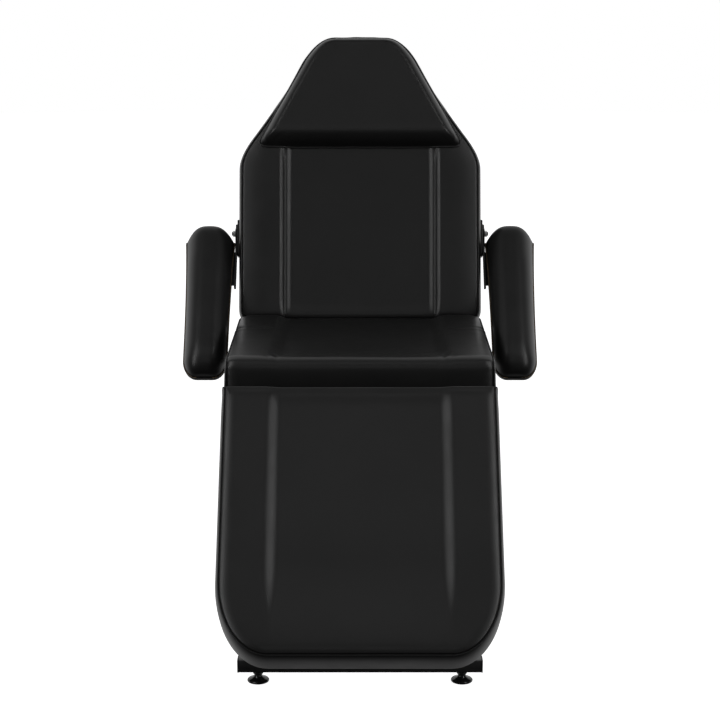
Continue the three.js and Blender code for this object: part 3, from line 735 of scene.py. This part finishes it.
def build_pillow():
    columns = pillow_columns()
    grid = grid_of(PILLOW_SIDE, columns)
    lift = 2.2 * MM
    top = [[BACK @ Vector((x, s, pillow_height(x, s) + lift)) for x, s in row] for row in grid]
    normal = BACK.to_3x3() @ Z_AXIS
    outline = [Vector(p) for p in rim(grid)]
    inner = [Vector(p) for p in rim(grid_of(inset(PILLOW_SIDE, 6 * MM), columns))]
    outs = [BACK.to_3x3() @ (a - b).normalized().to_3d() for a, b in zip(outline, inner)]
    bm = bmesh.new()
    loop = rim(sheet(bm, top))
    edge = [v.co.copy() for v in loop]
    rings = [
        [p - normal * 1.6 * MM - o * 0.4 * MM for p, o in zip(edge, outs)],
        [BACK @ Vector((p.x, p.y, back_height(p.x, p.y) + 0.4 * MM)) for p in inner],
    ]
    cover_underside(bm, skirt(bm, loop, rings))
    return finish_mesh(bm, "head_pillow_cover", PAD_MATERIALS, "backrest")


def pillow_piping():
    outline = rim(grid_of(PILLOW_SIDE, mirrored([i / 16 for i in range(17)])))
    radius = 2.6 * MM
    path = []
    for x, s in outline:
        wave = 1.1 * MM * noise.noise(Vector((x * 30, s * 30, 5)))
        path.append(BACK @ Vector((x, s + wave, back_height(x, s) + radius + 0.3 * MM + abs(wave))))
    bm = bmesh.new()
    bead(bm, path, [radius] * len(path), 8)
    return finish_mesh(bm, "head_pillow_piping", [PIPING_VINYL_PAINTED_HIGHLIGHT], "backrest")


pillow = build_pillow()
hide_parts("head_pillow")
pillow_piping()

# ---- Armrest pads ----
ARM_FRONT = ARM_END * MM
ARM_BOARD_LOW = -14 * MM
ARM_WRAP = 13 * MM
ARM_THICK = 47 * MM
ARM_REAR_PROFILE = ((27, 0.5), (15, 6), (5, 15), (-0.5, 27), (0.5, 39), (8, 48), (23, 52),
                    (44, 51.5))
ARM_REAR_SIDE = (27, 28.2, 30, 33, 37, 42, 49, 58)


def arm_outline():
    """Right half from the square rear corner to the rounded front."""
    corner_start = ARM_END - ARM_CORNER[1]
    points = [(ARM_HALF_REAR, ARM_START)]
    bezier(points, (ARM_HALF_FRONT, 160), (ARM_HALF_FRONT, corner_start), 64)
    rear = [(half_width(points, u), u) for u in ARM_REAR_SIDE]
    rest = [p for p in points if p[1] > ARM_REAR_SIDE[-1] + 4][::2]
    front = [(ARM_HALF_FRONT, corner_start)]
    quarter_turn(front, ARM_CORNER, 12)
    return scaled(rear + rest + front[1:])


ARM_SIDE = arm_outline()


def arm_top(index, u):
    """Where the ridge of row `index` runs: along the armrest and above its board."""
    if index < len(ARM_REAR_PROFILE):
        along, up = ARM_REAR_PROFILE[index]
        return along * MM, up * MM
    nose = max((u - 0.33) / (ARM_FRONT - 0.33), 0)
    height = (51 * MM - 4 * MM * (u / ARM_FRONT)) * max(1 - nose ** 2.7, 0) ** 0.45
    return u, height + 0.5 * MM


def arm_dome(t):
    return max(1 - abs(t) ** 3.0, 0) ** 0.5


def arm_columns():
    return mirrored([0, 0.14, 0.28, 0.41, 0.53, 0.64, 0.73, 0.81, 0.875, 0.925, 0.96, 0.982, 0.995, 1])


def build_armrest(side_name, side):
    columns = arm_columns()
    middle = side * ARM_MIDDLE
    seam_side = inset(ARM_SIDE, 1.2 * MM)
    top = []
    for index, (x, u) in enumerate(seam_side):
        ridge_u, ridge_n = arm_top(index, u)
        if index == len(seam_side) - 1:
            ridge_u, ridge_n = u, 0.5 * MM
        row = []
        for t in columns:
            dome = arm_dome(t)
            along = u + (ridge_u - u) * dome ** 1.2
            up = ridge_n * dome + softness(t * x + side, along, 3.3, 0.06, 0.8 * MM) * dome
            lean = 1 - 0.08 * up / ARM_THICK - 0.10 * up / ARM_THICK * (1 - smooth(0.03, 0.11, u))
            row.append(ARM @ Vector((middle + t * x * lean, along, up)))
        top.append(row)
    normal = ARM.to_3x3() @ Z_AXIS
    rim_seam = [Vector(p) for p in rim(grid_of(seam_side, columns))]
    rim_foot = [Vector(p) for p in rim(grid_of(inset(ARM_SIDE, -PROUD), columns))]
    rim_wrap = [Vector(p) for p in rim(grid_of(inset(ARM_SIDE, ARM_WRAP), columns))]
    shift = Vector((middle, 0, 0))
    outs = [ARM.to_3x3() @ (b - a).normalized().to_3d() for a, b in zip(rim_seam, rim_foot)]
    downs = [-normal] * len(outs)
    foots = [ARM @ Vector((p.x, p.y, ARM_BOARD_LOW + EDGE_TURN)) + shift for p in rim_foot]
    wraps = [ARM @ Vector((p.x, p.y, ARM_BOARD_LOW - WRAP_SINK)) + shift for p in rim_wrap]
    weights = [0.55] * len(outs)
    piece = build_pad(f"armrest_upholstery_{side_name}", f"{side_name}_armrest", top, outs, downs,
                      foots, wraps, weights, -normal * (EDGE_TURN + WRAP_SINK), 0.3 * MM)
    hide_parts(f"armrest_pad_{side_name}")


for side_name, side in SIDES:
    build_armrest(side_name, side)


# ---- Levelling feet ----
def turned(name, centre, profile, material, body, segments=56, knurl=()):
    """A turned part; rows in `knurl` get small grip ribs."""
    bm = bmesh.new()
    rings = []
    for index, (radius, height) in enumerate(profile):
        ring = []
        for k in range(segments):
            angle = 2 * math.pi * k / segments
            r = (radius - (0.7 if index in knurl and k % 2 else 0)) * MM
            reach = Vector((r * math.cos(angle), r * math.sin(angle), height * MM))
            ring.append(bm.verts.new(centre + reach))
        rings.append(ring)
    for low, high in zip(rings, rings[1:]):
        bridge(bm, low, high)
    bm.faces.new(rings[0])
    bm.faces.new(rings[-1])
    piece = finish_mesh(bm, name, [material], body, levels=0)
    round_edges(piece, 0.3 * MM, 35)
    return piece


FOOT_PROFILE = ((21, 0.2), (24, 0), (25, 1.2), (25, 3.4), (24, 4.8), (21.5, 6.2), (17.5, 7.4),
                (13.8, 8.9), (11.2, 10.8), (9.6, 13), (8.8, 15.6), (8.7, 18), (11.2, 18.4), (11.8, 19),
                (11.8, 23.2), (11.2, 23.8), (5.2, 23.9), (4.7, 24.2))
FOOT_THREAD = [(5 - 0.5 * (i % 2), 24.6 + 0.75 * i) for i in range(34)]
for end in ("front", "rear"):
    for side_name, side in SIDES:
        node = f"levelling_foot_{end}_{side_name}"
        low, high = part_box(node)
        centre = Vector(((low.x + high.x) / 2, (low.y + high.y) / 2, low.z))
        foot = turned(f"foot_{end}_{side_name}", centre, FOOT_PROFILE + tuple(FOOT_THREAD), FOOT_PLASTIC,
                      f"{end}_{side_name}_foot", knurl=(13, 14))
        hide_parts(node)


# ---- Fasteners and welds ----
def hex_bolt(bm, place, axis, size=6.5, height=4.2, washer=8.5):
    """A washer and a chamfered hexagon head standing on `place` along `axis`."""
    axis = axis.normalized()
    across = axis.cross(X_AXIS if abs(axis.x) < 0.9 else Z_AXIS).normalized()
    over = axis.cross(across)

    def ring(radius, up, count):
        base = place + axis * up * MM
        return [bm.verts.new(base + (across * math.cos(a) + over * math.sin(a)) * radius * MM)
                for a in (2 * math.pi * k / count for k in range(count))]

    def stack(levels, count):
        rings = [ring(radius, up, count) for radius, up in levels]
        for low, high in zip(rings, rings[1:]):
            bridge(bm, low, high)
        bm.faces.new(rings[0])
        bm.faces.new(rings[-1])

    stack(((washer, 0.05), (washer, 0.9), (washer - 0.4, 1.2)), 24)
    stack(((size, 1.25), (size, height), (size * 0.86, height + 0.9)), 6)


def fasteners(name, body, places, material=ZINC):
    bm = bmesh.new()
    for place, axis in places:
        hex_bolt(bm, place, axis)
    piece = finish_mesh(bm, name, [material], body, levels=0)
    for face in piece.data.polygons:
        face.use_smooth = False


def weld_bead(bm, low, high, z, seed):
    """A rippled bead round a square tube's end at height z."""
    corners = [(low.x, low.y), (high.x, low.y), (high.x, high.y), (low.x, high.y)]
    path = []
    for i, corner in enumerate(corners):
        following = corners[(i + 1) % 4]
        for k in range(12):
            t = k / 12
            path.append(Vector((corner[0] + (following[0] - corner[0]) * t,
                                corner[1] + (following[1] - corner[1]) * t, z)))
    radii = [(2.0 + 0.45 * (i % 2) + 0.3 * noise.noise(Vector((i * 0.9, seed, 0)))) * MM
             for i in range(len(path))]
    bead(bm, path, radii, 6)


def frame_welds():
    bm = bmesh.new()
    seed = 0
    for end in ("front", "rear"):
        for side_name, _ in SIDES:
            low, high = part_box(f"{end}_leg_{side_name}")
            for z in (low.z, high.z):
                weld_bead(bm, low, high, z, seed)
                seed += 1
    finish_mesh(bm, "leg_weld_beads", [POWDER_COAT], "base")


frame_welds()

SEAT_BOLTS = (0.09, 0.38)  # behind the seat's front edge
ARM_PLATE_OUT = 5.3 * MM  # outer face of the armrests' side plates, outside the board
ARM_PLATE_BOLTS = (-34 * MM, 30 * MM)  # along the plate from its middle
base_places = []
back_places = []
for side_name, side in SIDES:
    low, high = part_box(f"top_rail_{side_name}")
    middle_x = (low.x + high.x) / 2
    for reach in SEAT_BOLTS:
        base_places.append((Vector((middle_x, BOARD_LOW.y + reach, low.z)), -Z_AXIS))
    low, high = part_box(f"armrest_side_plate_{side_name}")
    plate = Vector((0, (low.y + high.y) / 2, (low.z + high.z) / 2))
    along = BACK.to_3x3() @ Y_AXIS
    face = side * (HALF + ARM_PLATE_OUT)
    for reach in ARM_PLATE_BOLTS:
        back_places.append((Vector((face, plate.y, plate.z)) + along * reach, X_AXIS * side))
fasteners("seat_bolts", "base", base_places)
fasteners("armrest_plate_bolts", "backrest", back_places, POWDER_COAT)

# ---- Studio ----
CAMERA_HEIGHT = 1.6452
CAMERA_AWAY = 3.7979  # in front of the seat board's front edge
CAMERA_PITCH = 13.2
SENSOR = 36
FOCAL = 88.9
FLOOR_RADIUS = 14

camera_data = bpy.data.cameras.new("camera")
camera_data.sensor_width = SENSOR
camera_data.lens = FOCAL
camera = bpy.data.objects.new("camera", camera_data)
camera.location = (0, BOARD_LOW.y - CAMERA_AWAY, CAMERA_HEIGHT)
camera.rotation_euler = (math.radians(90 - CAMERA_PITCH), 0, 0)
bpy.context.scene.collection.objects.link(camera)
bpy.context.scene.camera = camera


def make_floor():
    bm = bmesh.new()
    bmesh.ops.create_circle(bm, cap_ends=True, segments=96, radius=FLOOR_RADIUS)
    mesh = bpy.data.meshes.new("floor")
    bm.to_mesh(mesh)
    bm.free()
    material, _, _, shader = new_material("white_floor")
    shader.inputs["Base Color"].default_value = (0.9, 0.9, 0.9, 1)
    shader.inputs["Roughness"].default_value = 0.9
    shader.inputs["Specular IOR Level"].default_value = 0
    shader.inputs["Emission Color"].default_value = (1, 1, 1, 1)
    shader.inputs["Emission Strength"].default_value = 0.9
    mesh.materials.append(material)
    floor = bpy.data.objects.new("floor", mesh)
    bpy.context.scene.collection.objects.link(floor)
    floor.location.z = -0.2 * MM
    floor.visible_glossy = False
    floor.visible_diffuse = False
    floor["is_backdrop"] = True


def soft_box(name, place, target, width, height, power):
    data = bpy.data.lights.new(name, "AREA")
    data.shape = "RECTANGLE"
    data.size = width
    data.size_y = height
    data.energy = power
    light = bpy.data.objects.new(name, data)
    light.location = place
    light.rotation_euler = (Vector(target) - Vector(place)).to_track_quat("-Z", "Y").to_euler()
    light.visible_camera = False
    bpy.context.scene.collection.objects.link(light)


def make_world():
    """White to the eye; for light it is bright behind the bed and dark in front of it."""
    world = bpy.data.worlds.new("studio")
    bpy.context.scene.world = world
    world.use_nodes = True
    nodes = world.node_tree.nodes
    links = world.node_tree.links
    nodes.clear()
    output = nodes.new("ShaderNodeOutputWorld")
    mix = nodes.new("ShaderNodeMixShader")
    seen = nodes.new("ShaderNodeBackground")
    seen.inputs["Color"].default_value = (1, 1, 1, 1)
    lit = nodes.new("ShaderNodeBackground")
    path = nodes.new("ShaderNodeLightPath")
    coords = nodes.new("ShaderNodeTexCoord")
    axes = nodes.new("ShaderNodeSeparateXYZ")
    links.new(coords.outputs["Generated"], axes.inputs["Vector"])
    back = ranged(nodes, links, axes.outputs["Y"], 0.09, 0.9, -0.1, 0.4)
    below = ranged(nodes, links, axes.outputs["Z"], 0.3, 1.0, -0.75, -0.35)
    product = nodes.new("ShaderNodeMath")
    product.operation = "MULTIPLY"
    links.new(back, product.inputs[0])
    links.new(below, product.inputs[1])
    links.new(product.outputs["Value"], lit.inputs["Strength"])
    links.new(path.outputs["Is Camera Ray"], mix.inputs["Fac"])
    links.new(lit.outputs["Background"], mix.inputs[1])
    links.new(seen.outputs["Background"], mix.inputs[2])
    links.new(mix.outputs["Shader"], output.inputs["Surface"])


make_floor()
make_world()
soft_box("front", (0, -5.2, 2.7), (0, 0.2, 1.0), 1.2, 1.8, 3.4)
soft_box("above", (0, -2.4, 4.0), (0, -0.4, 0.6), 1.3, 1.8, 3.0)
for side_name, side in SIDES:
    soft_box(f"side_{side_name}", (side * 2.6, -2.2, 1.5), (0, 0, 0.95), 0.6, 2.2, 16)
    soft_box(f"high_{side_name}", (side * 2.0, -1.6, 2.7), (0, -0.4, 0.5), 0.6, 1.6, 11)
bpy.context.scene.view_settings.view_transform = "Standard"
bpy.context.scene.view_settings.look = "None"

low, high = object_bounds()
